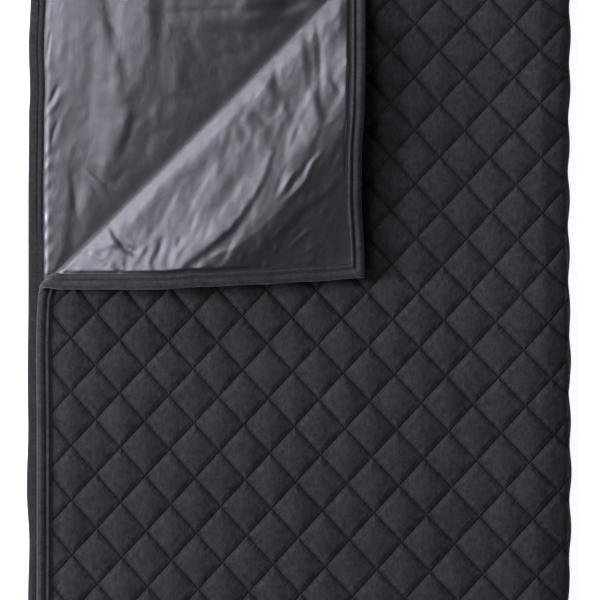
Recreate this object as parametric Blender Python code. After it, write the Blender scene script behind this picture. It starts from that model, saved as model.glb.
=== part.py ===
"""A quilted blanket of 1.3 x 1.7 m, folded in quarters with its top corner turned back.

It has three sewn pieces: a diamond-quilted face panel, a loose satin lining and the edge
binding that wraps round both.  Each piece is cut flat in cloth coordinates, given its
thickness there, and then carried through the same folds:

    corner fold   the top layer's corner is turned back over the diagonal
    side fold     the long fold at the right, lining inside
    end fold      the cross fold at the far end, which makes four layers of two
    settling      the air between the layers goes out away from the folds

Cloth coordinates, in millimetres: u runs across the width from the top layer's free left
edge, v runs down the length from the top edge, and w is the height through the cloth,
0 on the lining's free side and W_FACE on the crown of the quilting.
"""

import math

import bmesh
import bpy
import numpy as np

# ---- the cut cloth -------------------------------------------------------------
WIDTH = 1300.0
LENGTH = 1700.0

# ---- heights through the cloth -------------------------------------------------
GAP = 0.3  # between sewn pieces
T_LINING = 1.0
T_PLY = 1.0  # one ply of the binding
W_BATTING = T_LINING + GAP  # underside of the quilted panel
W_FACE = 5.5  # crown of the quilted panel
W_PRESSED = 2.7  # the panel's top where the binding pinches it
BINDING = 18.5  # width of the binding
RAMP = 7.5  # the panel rises from the pinch to its crown over this width
W_UNDER = -(T_PLY + GAP)  # underside of the binding
W_OVER = W_PRESSED + GAP + T_PLY  # top of the binding
ROLL = 0.8  # how much the binding's outer edge is rounded off

# ---- the folds -----------------------------------------------------------------
SEGMENTS = 8  # facets round each half turn
W_MIDDLE = W_FACE / 2
CORNER_LINE = 409.0  # u + v along the corner fold
R_CORNER = 3.5  # air inside the corner fold, at the quilting
R_SIDE = 3.0  # air inside the side fold, at the lining
R_END = 2.5  # air inside the end fold, at the quilting
SIDE_LINE = 633.5  # u where the side fold starts
END_LINE = 835.7  # v where the end fold starts
SLAB = 2 * (W_FACE + R_SIDE)  # thickness of two layers at the side fold
ROOT2 = math.sqrt(2.0)

# How far the cloth has shifted in the folding.
UNDER_RISE = 5.0  # the second layer shows this much past the top one
LOWER_SHIFT = 2.0  # the lower two layers stand out this much at the side fold

# The settling: how much air goes out of each gap, and over what distance from a fold.
LINING_AIR = 3.0
FACE_AIR = 4.0
SIDE_REACH = 130.0
END_REACH = 160.0
RIM_PRESS = 0.14  # the pile is this much lower at the side fold than its layers add up to
RIM_START, RIM_WIDTH = 30.0, 38.0

# The turned-back corner stands up in a soft ridge.
RIDGE = 15.0  # height over the fold's own
RIDGE_FROM_FOLD = 130.0  # at the middle of the diagonal
RIDGE_HALF_LENGTH = 270.0
RIDGE_SHOULDER, SHOULDER_WIDTH = 0.22, 14.0  # it swells straight off the fold
RIDGE_FALL = 0.3  # level beyond the ridge, as a share of its height
RIDGE_FALL_WIDTH = 110.0
HALF_DIAGONAL = CORNER_LINE / ROOT2

# ---- unevenness of the edges: place along the edge, how far out it lies ----------
LEFT_EDGE = (  # v, out
    (0, -13.4), (64, -9.1), (125, -5.5), (198, -2.5), (246, 0.4), (367, 0.4),
    (383, -1.2), (396, -3.2), (409, -0.5), (430, 0.7), (468, 1.4), (508, 1.0),
    (556, 0.6), (850, 0.5),
)
TOP_EDGE = (  # u, out
    (0, -0.5), (15, -0.8), (105, -4.6), (154, -4.4), (226, -0.8), (275, 0.0),
)
UNDER_EDGE = (  # v, out: the second layer's free edge
    (47, -6.4), (108, -4.2), (164, -5.6), (190, -4.4), (290, -3.6), (411, -3.6),
    (508, -2.7), (568, -3.4), (641, -1.7), (707, -4.8), (774, -3.4), (900, -4.6),
)
SIDE_RIM = (  # v, out: the side fold, of the upper two layers and then the lower two
    (47, -1.0), (119, -1.0), (170, -2.0), (340, -2.0), (411, -0.7), (468, 0.6),
    (528, 0.0), (604, 0.8), (774, 0.3), (870, 0.0), (949, -0.8), (997, 1.5),
    (1057, 0.9), (1117, 0.9), (1178, -0.4), (1238, 0.6), (1298, -0.6),
    (1358, -1.3), (1478, -1.3), (1587, 0.1), (1700, 0.1),
)

# The origin is under the middle of the folded blanket.
X_MIDDLE = 316.183
Y_MIDDLE = -425.1

MM = 0.001


def smooth(t):
    t = np.clip(t, 0.0, 1.0)
    return t * t * (3.0 - 2.0 * t)


def eased(rows, at):
    """The table's second column at a place in its first, easing from row to row."""
    places = np.array([row[0] for row in rows], float)
    values = np.array([row[1] for row in rows], float)
    at = np.clip(at, places[0], places[-1])
    i = np.clip(np.searchsorted(places, at, side="right") - 1, 0, len(rows) - 2)
    share = smooth((at - places[i]) / (places[i + 1] - places[i]))
    return values[i] + share * (values[i + 1] - values[i])


def pulled_edges(u, v):
    """The flat cloth with its edges as uneven as they lie."""
    near_left = smooth((200.0 - u) / 160.0)
    near_top = smooth((200.0 - v) / 160.0)
    near_under = smooth((u - (WIDTH - 200.0)) / 160.0)
    return (
        u - eased(LEFT_EDGE, v) * near_left + eased(UNDER_EDGE, v) * near_under,
        v - eased(TOP_EDGE, u) * near_top,
    )


def ridge(beyond, along):
    """How much higher than its fold the turned-back corner stands."""
    reach = np.clip(1.0 - (np.abs(along) / RIDGE_HALF_LENGTH) ** 2.5, 0.0, 1.0)
    far = np.maximum(RIDGE_FROM_FOLD * reach, 15.0)
    rise = RIDGE_SHOULDER * (1.0 - np.exp(-beyond / SHOULDER_WIDTH))
    rise = rise + (1.0 - RIDGE_SHOULDER) * np.clip(beyond / far, 0.0, 1.0) ** 1.3
    fall = (RIDGE_FALL - 1.0) * smooth((beyond - far) / RIDGE_FALL_WIDTH)
    return RIDGE * smooth((HALF_DIAGONAL - np.abs(along)) / 120.0) * (rise + fall)


def corner_fold(u, v, w):
    """Turns the corner back over the diagonal, quilting inside."""
    centre = W_FACE + R_CORNER
    neutral = centre - W_MIDDLE
    past = (CORNER_LINE - u - v) / ROOT2
    angle = np.clip(past / neutral, 0.0, math.pi)
    beyond = np.maximum(past - math.pi * neutral, 0.0)
    along = (u - v) / ROOT2
    out = (centre - w) * np.sin(angle) - beyond
    turned = past > 0.0
    foot_u = (CORNER_LINE + u - v) / 2.0
    foot_v = (CORNER_LINE - u + v) / 2.0
    high = centre - (centre - w) * np.cos(angle) + ridge(beyond, along)
    return (
        np.where(turned, foot_u - out / ROOT2, u),
        np.where(turned, foot_v - out / ROOT2, v),
        np.where(turned, high, w),
    )


def side_fold(u, v, w):
    """Folds the width in half, lining inside: two layers, one slab."""
    past = u - SIDE_LINE
    neutral = R_SIDE + W_MIDDLE
    angle = np.clip(past / neutral, 0.0, math.pi)
    beyond = np.maximum(past - math.pi * neutral, 0.0)
    x = np.where(past <= 0.0, u, SIDE_LINE + (R_SIDE + w) * np.sin(angle) - beyond)
    high = W_FACE + R_SIDE + (R_SIDE + w) * np.cos(angle)
    x = x + eased(SIDE_RIM, v) * smooth((x - 400.0) / 230.0)
    return x, v - UNDER_RISE * smooth(beyond / 600.0), high


def end_fold(x, v, high):
    """Folds the slab's length in half, quilting inside, and lays it on the ground."""
    past = v - END_LINE
    neutral = R_END + SLAB / 2.0
    angle = np.clip(past / neutral, 0.0, math.pi)
    beyond = np.maximum(past - math.pi * neutral, 0.0)
    y = np.where(past <= 0.0, -v, beyond - END_LINE - (R_END + high) * np.sin(angle))
    z = SLAB + R_END + (R_END + high) * np.cos(angle)
    return x + LOWER_SHIFT * smooth(past / 300.0), y, z


def settle(x, y, z):
    """Lets the layers down on each other away from the folds."""
    from_side = smooth((SIDE_LINE - x) / SIDE_REACH)
    from_end = smooth((END_LINE + y) / END_REACH)
    upper = SLAB + 2.0 * R_END
    low = W_FACE - W_UNDER
    high = W_FACE + 2.0 * R_SIDE + W_UNDER
    down = LINING_AIR * from_side * from_end * np.clip((z - low) / (high - low), 0, 1)
    down = down + FACE_AIR * from_end * np.clip((z - SLAB) / (2.0 * R_END), 0, 1)
    down = down + LINING_AIR * from_side * from_end * np.clip(
        (z - upper - low) / (high - low), 0, 1
    )
    rim = RIM_PRESS * smooth((x - SIDE_LINE + RIM_START) / RIM_WIDTH)
    return x, y, (z - down) * (1.0 - rim)


def lay(u, v, w):
    """A point of the cloth, in millimetres, to where it lies, in metres."""
    u, v = pulled_edges(u, v)
    x, y, z = settle(*end_fold(*side_fold(*corner_fold(u, v, w))))
    return np.stack([x - X_MIDDLE, y - Y_MIDDLE, z], axis=-1) * MM


# ---- cutting the flat pieces ------------------------------------------------------
def half_turn(start, neutral):
    """The bend lines of a half turn, from where it starts."""
    return [start + math.pi * neutral * k / SEGMENTS for k in range(SEGMENTS + 1)]


def bend_lines():
    """(point, normal, only beyond the corner fold) of each line the cloth bends on."""
    lines = []
    side = half_turn(SIDE_LINE, R_SIDE + W_MIDDLE)
    end = half_turn(END_LINE, R_END + SLAB / 2.0)
    easing = (0.25, 0.5, 0.75, 1.0)
    across = side + [side[0] - SIDE_REACH * k for k in easing]
    across += [side[-1] + SIDE_REACH * k for k in easing] + [60.0, 200.0, 1100.0, 1240.0]
    down = end + [end[0] - END_REACH * k for k in easing]
    down += [end[-1] + END_REACH * k for k in easing]
    down += [60.0, 130.0, 200.0, 300.0, 500.0, 590.0]
    lines += [((u, 0, 0), (1, 0, 0), False) for u in across]
    lines += [((0, v, 0), (0, 1, 0), False) for v in down]
    turn = math.pi * (W_FACE + R_CORNER - W_MIDDLE)
    for past in half_turn(0.0, W_FACE + R_CORNER - W_MIDDLE):
        lines.append(((CORNER_LINE - past * ROOT2, 0, 0), (1, 1, 0), False))
    for past in (32.0, 64.0, 96.0, 130.0, 165.0, 200.0, 235.0):
        at = CORNER_LINE - (turn + past) * ROOT2
        lines.append(((at, 0, 0), (1, 1, 0), True))
    for along in (-230.0, -170.0, -110.0, -55.0, 0.0, 55.0, 110.0, 170.0, 230.0):
        lines.append(((along * ROOT2, 0, 0), (1, -1, 0), True))
    return lines


def inset_of(u, v):
    """How far a point of the flat cloth is from its nearest edge."""
    return np.minimum(np.minimum(u, WIDTH - u), np.minimum(v, LENGTH - v))


def cut_flat(rings):
    """The flat cloth, cut on rings inside its edge and on the bend lines.

    Every piece takes its facets from this one sheet, so that they bend alike.
    """
    bm = bmesh.new()
    corners = [(0, 0), (WIDTH, 0), (WIDTH, LENGTH), (0, LENGTH)]
    bm.faces.new([bm.verts.new((u, v, 0.0)) for u, v in corners])

    def cut(point, normal, faces):
        geometry = set(faces)
        for face in faces:
            geometry.update(face.edges)
            geometry.update(face.verts)
        bmesh.ops.bisect_plane(
            bm, geom=list(geometry), dist=1e-4, plane_co=point, plane_no=normal
        )

    for ring in rings:
        for point, normal in (
            ((ring, 0, 0), (1, 0, 0)), ((WIDTH - ring, 0, 0), (1, 0, 0)),
            ((0, ring, 0), (0, 1, 0)), ((0, LENGTH - ring, 0), (0, 1, 0)),
        ):
            cut(point, normal, bm.faces[:])
    flap = CORNER_LINE - math.pi * (W_FACE + R_CORNER - W_MIDDLE) * ROOT2
    for point, normal, flap_only in bend_lines():
        faces = bm.faces[:]
        if flap_only:
            faces = [
                f for f in faces
                if f.calc_center_median().x + f.calc_center_median().y < flap
            ]
        cut(point, normal, faces)
    bmesh.ops.triangulate(bm, faces=bm.faces[:])
    bm.verts.index_update()
    points = np.array([v.co[:2] for v in bm.verts], float)
    triangles = [[v.index for v in f.verts] for f in bm.faces]
    bm.free()
    return points, triangles


def piece_of(flat, ring, edge):
    """The flat cloth inside a ring, with its rim drawn in to a given edge."""
    points, triangles = flat
    kept = [t for t in triangles if inset_of(*points[t].mean(axis=0)) > ring]
    return (
        np.stack(
            [np.clip(points[:, 0], edge, WIDTH - edge),
             np.clip(points[:, 1], edge, LENGTH - edge)], axis=-1
        ),
        kept,
    )


def thicken(name, flat, levels, filled, material):
    """One closed solid from a flat piece.

    levels are functions of inset that give heights through the cloth, from low to high,
    and filled(inset) says which of the intervals between them hold material there.
    """
    points, triangles = flat
    inset = inset_of(points[:, 0], points[:, 1])
    bm = bmesh.new()
    made = {}

    def vertex(i, level):
        if (i, level) not in made:
            u, v = points[i]
            place = lay(np.array([u]), np.array([v]), np.array([levels[level](inset[i])]))
            made[i, level] = bm.verts.new(place[0])
        return made[i, level]

    solid = []
    beside = {}
    for number, corner in enumerate(triangles):
        middle = points[corner].mean(axis=0)
        solid.append(set(filled(inset_of(middle[0], middle[1]))))
        for k in range(3):
            a, b = corner[k], corner[(k + 1) % 3]
            beside.setdefault(frozenset((a, b)), []).append(number)

    def runs(slabs):
        """Neighbouring intervals joined, as (lowest level, highest level)."""
        found = []
        for slab in sorted(slabs):
            if found and found[-1][1] == slab:
                found[-1][1] = slab + 1
            else:
                found.append([slab, slab + 1])
        return found

    for number, corner in enumerate(triangles):
        for low, high in runs(solid[number]):
            bm.faces.new([vertex(i, high) for i in corner])
            bm.faces.new([vertex(i, low) for i in reversed(corner)])
        for k in range(3):
            a, b = corner[k], corner[(k + 1) % 3]
            others = [n for n in beside[frozenset((a, b))] if n != number]
            bare = solid[number] - (solid[others[0]] if others else set())
            for low, high in runs(bare):
                quad = [vertex(a, low), vertex(b, low), vertex(b, high), vertex(a, high)]
                bm.faces.new([quad[0], quad[1], quad[2]])
                bm.faces.new([quad[0], quad[2], quad[3]])
    bmesh.ops.recalc_face_normals(bm, faces=bm.faces[:])
    mesh = bpy.data.meshes.new(name)
    bm.to_mesh(mesh)
    bm.free()
    mesh.materials.append(material)
    mesh.shade_smooth()
    mesh.set_sharp_from_angle(angle=math.radians(35.0))
    obj = bpy.data.objects.new(name, mesh)
    bpy.context.scene.collection.objects.link(obj)
    return obj


def cloth_material(name, colour, roughness):
    material = bpy.data.materials.new(name)
    material.use_nodes = True
    shader = next(n for n in material.node_tree.nodes if n.type == "BSDF_PRINCIPLED")
    shader.inputs["Base Color"].default_value = (*colour, 1.0)
    shader.inputs["Roughness"].default_value = roughness
    shader.inputs["Metallic"].default_value = 0.0
    return material


def main():
    for obj in list(bpy.data.objects):
        bpy.data.objects.remove(obj)

    jersey = cloth_material("charcoal_jersey", (0.030, 0.031, 0.037), 0.9)
    satin = cloth_material("grey_satin", (0.115, 0.112, 0.122), 0.38)
    tape = cloth_material("charcoal_binding", (0.040, 0.041, 0.048), 0.85)

    flat = cut_flat((T_PLY, BINDING, BINDING + RAMP))
    inside = piece_of(flat, T_PLY, T_PLY + GAP)
    rim = piece_of(flat, 0.0, 0.0)
    rim = (rim[0], [t for t in rim[1] if inset_of(*rim[0][t].mean(axis=0)) < BINDING])

    def face_top(inset):
        rise = min(max((inset - BINDING) / RAMP, 0.0), 1.0)
        return W_PRESSED + (W_FACE - W_PRESSED) * rise

    thicken(
        "quilted_face", inside, (lambda inset: W_BATTING, face_top),
        lambda inset: [0], jersey,
    )
    thicken(
        "lining", inside, (lambda inset: 0.0, lambda inset: T_LINING),
        lambda inset: [0], satin,
    )
    thicken(
        "edge_binding",
        rim,
        (
            lambda inset: W_UNDER + ROLL * (inset < T_PLY / 2),
            lambda inset: W_UNDER + T_PLY,
            lambda inset: W_OVER - T_PLY,
            lambda inset: W_OVER - ROLL * (inset < T_PLY / 2),
        ),
        lambda inset: [0, 1, 2] if inset < T_PLY else [0, 2],
        tape,
    )


main()
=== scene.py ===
"""The folded quilted blanket, dressed: quilting, loose satin lining, binding and stitches."""

import math

import bpy
import numpy as np
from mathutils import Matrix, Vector


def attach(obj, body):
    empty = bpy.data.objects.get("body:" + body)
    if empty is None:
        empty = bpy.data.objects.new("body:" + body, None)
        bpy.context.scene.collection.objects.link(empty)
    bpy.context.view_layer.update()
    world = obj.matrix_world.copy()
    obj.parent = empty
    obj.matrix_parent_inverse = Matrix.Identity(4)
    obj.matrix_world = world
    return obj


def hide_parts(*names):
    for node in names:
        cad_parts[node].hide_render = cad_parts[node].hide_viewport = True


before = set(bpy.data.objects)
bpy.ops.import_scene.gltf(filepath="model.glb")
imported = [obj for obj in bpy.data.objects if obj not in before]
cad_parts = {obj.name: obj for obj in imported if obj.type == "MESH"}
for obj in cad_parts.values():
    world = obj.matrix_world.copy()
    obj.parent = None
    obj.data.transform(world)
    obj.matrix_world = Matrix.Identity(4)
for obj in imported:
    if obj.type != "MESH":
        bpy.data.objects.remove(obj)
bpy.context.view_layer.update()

MM = 0.001
ROOT2 = math.sqrt(2.0)

# ---- the cut cloth and its folds, in millimetres, as in the solid model ------------
WIDTH, LENGTH = 1300.0, 1700.0
GAP, T_LINING, T_PLY = 0.3, 1.0, 1.0
W_BATTING = T_LINING + GAP
W_FACE, W_PRESSED = 5.5, 2.7
BINDING, RAMP = 18.5, 7.5
W_UNDER = -(T_PLY + GAP)
W_OVER = W_PRESSED + GAP + T_PLY
W_MIDDLE = W_FACE / 2
CORNER_LINE = 409.0
R_CORNER, R_SIDE, R_END = 3.5, 3.0, 2.5
SIDE_LINE, END_LINE = 633.5, 835.7
SLAB = 2 * (W_FACE + R_SIDE)
UNDER_RISE, LOWER_SHIFT = 5.0, 2.0
LINING_AIR, FACE_AIR, SIDE_REACH, END_REACH = 3.0, 4.0, 130.0, 160.0
RIM_PRESS, RIM_START, RIM_WIDTH = 0.14, 30.0, 38.0
RIDGE, RIDGE_FROM_FOLD, RIDGE_HALF_LENGTH = 15.0, 130.0, 270.0
RIDGE_SHOULDER, SHOULDER_WIDTH = 0.22, 14.0
RIDGE_FALL, RIDGE_FALL_WIDTH = 0.3, 110.0
HALF_DIAGONAL = CORNER_LINE / ROOT2
X_MIDDLE, Y_MIDDLE = 316.183, -425.1

LEFT_EDGE = (
    (0, -13.4), (64, -9.1), (125, -5.5), (198, -2.5), (246, 0.4), (367, 0.4),
    (383, -1.2), (396, -3.2), (409, -0.5), (430, 0.7), (468, 1.4), (508, 1.0),
    (556, 0.6), (850, 0.5),
)
TOP_EDGE = (
    (0, -0.5), (15, -0.8), (105, -4.6), (154, -4.4), (226, -0.8), (275, 0.0),
)
UNDER_EDGE = (
    (47, -6.4), (108, -4.2), (164, -5.6), (190, -4.4), (290, -3.6), (411, -3.6),
    (508, -2.7), (568, -3.4), (641, -1.7), (707, -4.8), (774, -3.4), (900, -4.6),
)
SIDE_RIM = (
    (47, -1.0), (119, -1.0), (170, -2.0), (340, -2.0), (411, -0.7), (468, 0.6),
    (528, 0.0), (604, 0.8), (774, 0.3), (870, 0.0), (949, -0.8), (997, 1.5),
    (1057, 0.9), (1117, 0.9), (1178, -0.4), (1238, 0.6), (1298, -0.6),
    (1358, -1.3), (1478, -1.3), (1587, 0.1), (1700, 0.1),
)

# ---- the photograph's frame: millimetres per pixel and where the cloth starts -------
PER_PIXEL = 1.2034
LEFT_PIXEL, TOP_PIXEL = 37.0, -39.2
CAMERA_LEVEL = 30.0  # height of the top layer's face

# ---- the quilting ---------------------------------------------------------------------
HALF_PITCH_U, HALF_PITCH_V = 30.0, 33.0
LATTICE_U, LATTICE_V = 343.5, 462.5  # where column 10 and row 0 of the lattice lie
STEPS = 6  # cells to a half pitch
W_STITCH = 3.0  # the panel's height where it is stitched through
PUFF = 1.0  # how much more the top layer's pillows rise, with nothing on them


def smooth(t):
    t = np.clip(t, 0.0, 1.0)
    return t * t * (3.0 - 2.0 * t)


def eased(rows, at):
    places = np.array([row[0] for row in rows], float)
    values = np.array([row[1] for row in rows], float)
    at = np.clip(at, places[0], places[-1])
    i = np.clip(np.searchsorted(places, at, side="right") - 1, 0, len(rows) - 2)
    share = smooth((at - places[i]) / (places[i + 1] - places[i]))
    return values[i] + share * (values[i + 1] - values[i])


def pulled_edges(u, v):
    near_left = smooth((200.0 - u) / 160.0)
    near_top = smooth((200.0 - v) / 160.0)
    near_under = smooth((u - (WIDTH - 200.0)) / 160.0)
    return (
        u - eased(LEFT_EDGE, v) * near_left + eased(UNDER_EDGE, v) * near_under,
        v - eased(TOP_EDGE, u) * near_top,
    )


def ridge(beyond, along):
    reach = np.clip(1.0 - (np.abs(along) / RIDGE_HALF_LENGTH) ** 2.5, 0.0, 1.0)
    far = np.maximum(RIDGE_FROM_FOLD * reach, 15.0)
    rise = RIDGE_SHOULDER * (1.0 - np.exp(-beyond / SHOULDER_WIDTH))
    rise = rise + (1.0 - RIDGE_SHOULDER) * np.clip(beyond / far, 0.0, 1.0) ** 1.3
    fall = (RIDGE_FALL - 1.0) * smooth((beyond - far) / RIDGE_FALL_WIDTH)
    return RIDGE * smooth((HALF_DIAGONAL - np.abs(along)) / 120.0) * (rise + fall)


def corner_fold(u, v, w):
    centre = W_FACE + R_CORNER
    neutral = centre - W_MIDDLE
    past = (CORNER_LINE - u - v) / ROOT2
    angle = np.clip(past / neutral, 0.0, math.pi)
    beyond = np.maximum(past - math.pi * neutral, 0.0)
    along = (u - v) / ROOT2
    out = (centre - w) * np.sin(angle) - beyond
    turned = past > 0.0
    foot_u = (CORNER_LINE + u - v) / 2.0
    foot_v = (CORNER_LINE - u + v) / 2.0
    high = centre - (centre - w) * np.cos(angle) + ridge(beyond, along)
    return (
        np.where(turned, foot_u - out / ROOT2, u),
        np.where(turned, foot_v - out / ROOT2, v),
        np.where(turned, high, w),
    )


def side_fold(u, v, w):
    past = u - SIDE_LINE
    neutral = R_SIDE + W_MIDDLE
    angle = np.clip(past / neutral, 0.0, math.pi)
    beyond = np.maximum(past - math.pi * neutral, 0.0)
    x = np.where(past <= 0.0, u, SIDE_LINE + (R_SIDE + w) * np.sin(angle) - beyond)
    high = W_FACE + R_SIDE + (R_SIDE + w) * np.cos(angle)
    x = x + eased(SIDE_RIM, v) * smooth((x - 400.0) / 230.0)
    return x, v - UNDER_RISE * smooth(beyond / 600.0), high


def end_fold(x, v, high):
    past = v - END_LINE
    neutral = R_END + SLAB / 2.0
    angle = np.clip(past / neutral, 0.0, math.pi)
    beyond = np.maximum(past - math.pi * neutral, 0.0)
    y = np.where(past <= 0.0, -v, beyond - END_LINE - (R_END + high) * np.sin(angle))
    z = SLAB + R_END + (R_END + high) * np.cos(angle)
    return x + LOWER_SHIFT * smooth(past / 300.0), y, z


def settle(x, y, z):
    from_side = smooth((SIDE_LINE - x) / SIDE_REACH)
    from_end = smooth((END_LINE + y) / END_REACH)
    upper = SLAB + 2.0 * R_END
    low = W_FACE - W_UNDER
    high = W_FACE + 2.0 * R_SIDE + W_UNDER
    down = LINING_AIR * from_side * from_end * np.clip((z - low) / (high - low), 0, 1)
    down = down + FACE_AIR * from_end * np.clip((z - SLAB) / (2.0 * R_END), 0, 1)
    down = down + LINING_AIR * from_side * from_end * np.clip(
        (z - upper - low) / (high - low), 0, 1
    )
    rim = RIM_PRESS * smooth((x - SIDE_LINE + RIM_START) / RIM_WIDTH)
    return x, y, (z - down) * (1.0 - rim)


def lay(u, v, w):
    """A point of the cloth, in millimetres, to where it lies, in metres."""
    u, v, w = np.broadcast_arrays(*(np.asarray(x, float) for x in (u, v, w)))
    u, v = pulled_edges(u, v)
    x, y, z = settle(*end_fold(*side_fold(*corner_fold(u, v, w))))
    return np.stack([x - X_MIDDLE, y - Y_MIDDLE, z], axis=-1) * MM


def pixel_of(place):
    """Where a laid point shows in the photograph's frame."""
    x = place[..., 0] / MM + X_MIDDLE
    y = place[..., 1] / MM + Y_MIDDLE
    return LEFT_PIXEL + x / PER_PIXEL, TOP_PIXEL - y / PER_PIXEL


def inset_of(u, v):
    return np.minimum(np.minimum(u, WIDTH - u), np.minimum(v, LENGTH - v))


# ---- meshes ------------------------------------------------------------------------------
def make_object(name, places, faces, material, uvs=None, sharp=None):
    """A piece from its points and faces, with layers of texture coordinates."""
    mesh = bpy.data.meshes.new(name)
    mesh.from_pydata([tuple(p) for p in places], [], faces)
    mesh.update()
    index = np.empty(len(mesh.loops), dtype=np.int32)
    mesh.loops.foreach_get("vertex_index", index)
    for layer, values in (uvs or {}).items():
        uv = mesh.uv_layers.new(name=layer)
        uv.data.foreach_set("uv", values[index].astype(np.float32).ravel())
    mesh.materials.append(material)
    mesh.shade_smooth()
    if sharp is not None:
        mesh.set_sharp_from_angle(angle=math.radians(sharp))
    mesh.validate()
    obj = bpy.data.objects.new(name, mesh)
    bpy.context.scene.collection.objects.link(obj)
    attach(obj, "root")
    return obj


def two_sided(us, vs, fine, coarse, keep_u, keep_v, flip=False, split=None):
    """A closed sheet: a fine grid on one side, a coarser one on the other.

    us and vs are grids of flat coordinates; fine(u, v) and coarse(u, v) give heights.
    split(i, j) says which diagonal a fine cell is cut along, or None for a quad.
    """
    n, m = us.shape
    top = lay(us, vs, fine(us, vs)).reshape(-1, 3)
    cu, cv = us[np.ix_(keep_u, keep_v)], vs[np.ix_(keep_u, keep_v)]
    bottom = lay(cu, cv, coarse(cu, cv)).reshape(-1, 3)
    base = len(top)
    nk, mk = cu.shape
    faces = []

    def add(face):
        faces.append(face[::-1] if flip else face)

    for i in range(n - 1):
        for j in range(m - 1):
            a, b, c, d = i * m + j, (i + 1) * m + j, (i + 1) * m + j + 1, i * m + j + 1
            way = split(i, j) if split else 0
            # u runs along +x and v along -y, so a, d, c, b faces up
            if way > 0:
                add((a, d, c))
                add((a, c, b))
            elif way < 0:
                add((a, d, b))
                add((d, c, b))
            else:
                add((a, d, c, b))
    for i in range(nk - 1):
        for j in range(mk - 1):
            a, b = base + i * mk + j, base + (i + 1) * mk + j
            add((a, b, b + 1, a + 1))
    for i in range(nk - 1):  # the rims at the first and last v
        i0, i1 = keep_u[i], keep_u[i + 1]
        low, high = base + i * mk, base + (i + 1) * mk
        add([low] + [k * m for k in range(i0, i1 + 1)] + [high])
        low, high = low + mk - 1, high + mk - 1
        add([high] + [k * m + m - 1 for k in range(i1, i0 - 1, -1)] + [low])
    for j in range(mk - 1):  # the rims at the first and last u
        j0, j1 = keep_v[j], keep_v[j + 1]
        low, high = base + j, base + j + 1
        add([high] + list(range(j1, j0 - 1, -1)) + [low])
        low, high = low + (nk - 1) * mk, high + (nk - 1) * mk
        last = (n - 1) * m
        add([low] + [last + k for k in range(j0, j1 + 1)] + [high])
    places = np.concatenate([top, bottom])
    flat = np.concatenate(
        [np.stack([us, vs], -1).reshape(-1, 2), np.stack([cu, cv], -1).reshape(-1, 2)]
    )
    return places, faces, flat


# ---- the quilted face ---------------------------------------------------------------------
# How the quilting lies on the top layer, as a fit in lattice columns and rows: the terms
# are 1, B, B^2, A, A B, A^2, with A = (column - 10) / 10 and B = row / 10.
LIE_U = (338.29, 6.8, 5.66, 303.5, 10.33, 8.0)
LIE_V = (462.45, 329.12, 6.29, 8.08, 7.4, -0.41)


def lattice_place(a, b):
    """Flat coordinates of a lattice column and row, leaning as the quilting does."""
    u = LATTICE_U + HALF_PITCH_U * (a - 10.0)
    v = LATTICE_V + HALF_PITCH_V * b
    big_a, big_b = (a - 10.0) / 10.0, b / 10.0
    terms = (1.0, big_b, big_b**2, big_a, big_a * big_b, big_a**2)
    fit_u = sum(k * t for k, t in zip(LIE_U, terms))
    fit_v = sum(k * t for k, t in zip(LIE_V, terms))
    seen = smooth((21.0 - a) / 2.0) * smooth((12.0 - b) / 2.0)
    rim_u = smooth((np.minimum(u, WIDTH - u) - 2.0) / 26.0)
    rim_v = smooth((np.minimum(v, LENGTH - v) - 2.0) / 26.0)
    return u + (fit_u - u) * seen * rim_u, v + (fit_v - v) * seen * rim_v


def lattice_line(first, last, fine_until, coarse):
    """Lattice values from edge to edge: whole steps, with the true edge at each end."""
    values = list(np.arange(math.ceil(first * STEPS), fine_until * STEPS + 1) / STEPS)
    values += list(np.arange(fine_until * coarse + 1, math.floor(last * coarse) + 1) / coarse)
    if values[0] - first > 0.04:
        values.insert(0, first)
    else:
        values[0] = first
    if last - values[-1] > 0.04:
        values.append(last)
    else:
        values[-1] = last
    return np.array(values)


def quilt_height(a, b, u, v):
    """The panel's upper surface: pillows between the stitch lines, pinched at the rim."""
    p, q = (a + b) / 2.0, (a - b) / 2.0
    fp, fq = np.abs(p - np.round(p)) * 2.0, np.abs(q - np.round(q)) * 2.0
    pillow = (1.0 - (1.0 - fp) ** 2.1) * (1.0 - (1.0 - fq) ** 2.1)
    uneven = 0.84 + 0.16 * np.sin(12.9 * np.floor(p) + 7.3 * np.floor(q) + 1.7) ** 2
    # the top layer has nothing on it, so it puffs up more than the layers that are lain on
    free = smooth((SIDE_LINE - 6.0 - u) / 25.0) * smooth((END_LINE - 6.0 - v) / 25.0)
    free = free * smooth((u + v - CORNER_LINE - 8.0) / 14.0)
    low, high = W_STITCH - 0.7 * free, W_FACE + PUFF * free
    height = low + (high - low) * np.clip(pillow * uneven, 0.0, 1.0)
    rise = smooth((inset_of(u, v) - BINDING) / 16.0)
    return W_PRESSED - 0.1 + (height - W_PRESSED + 0.1) * rise


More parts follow.
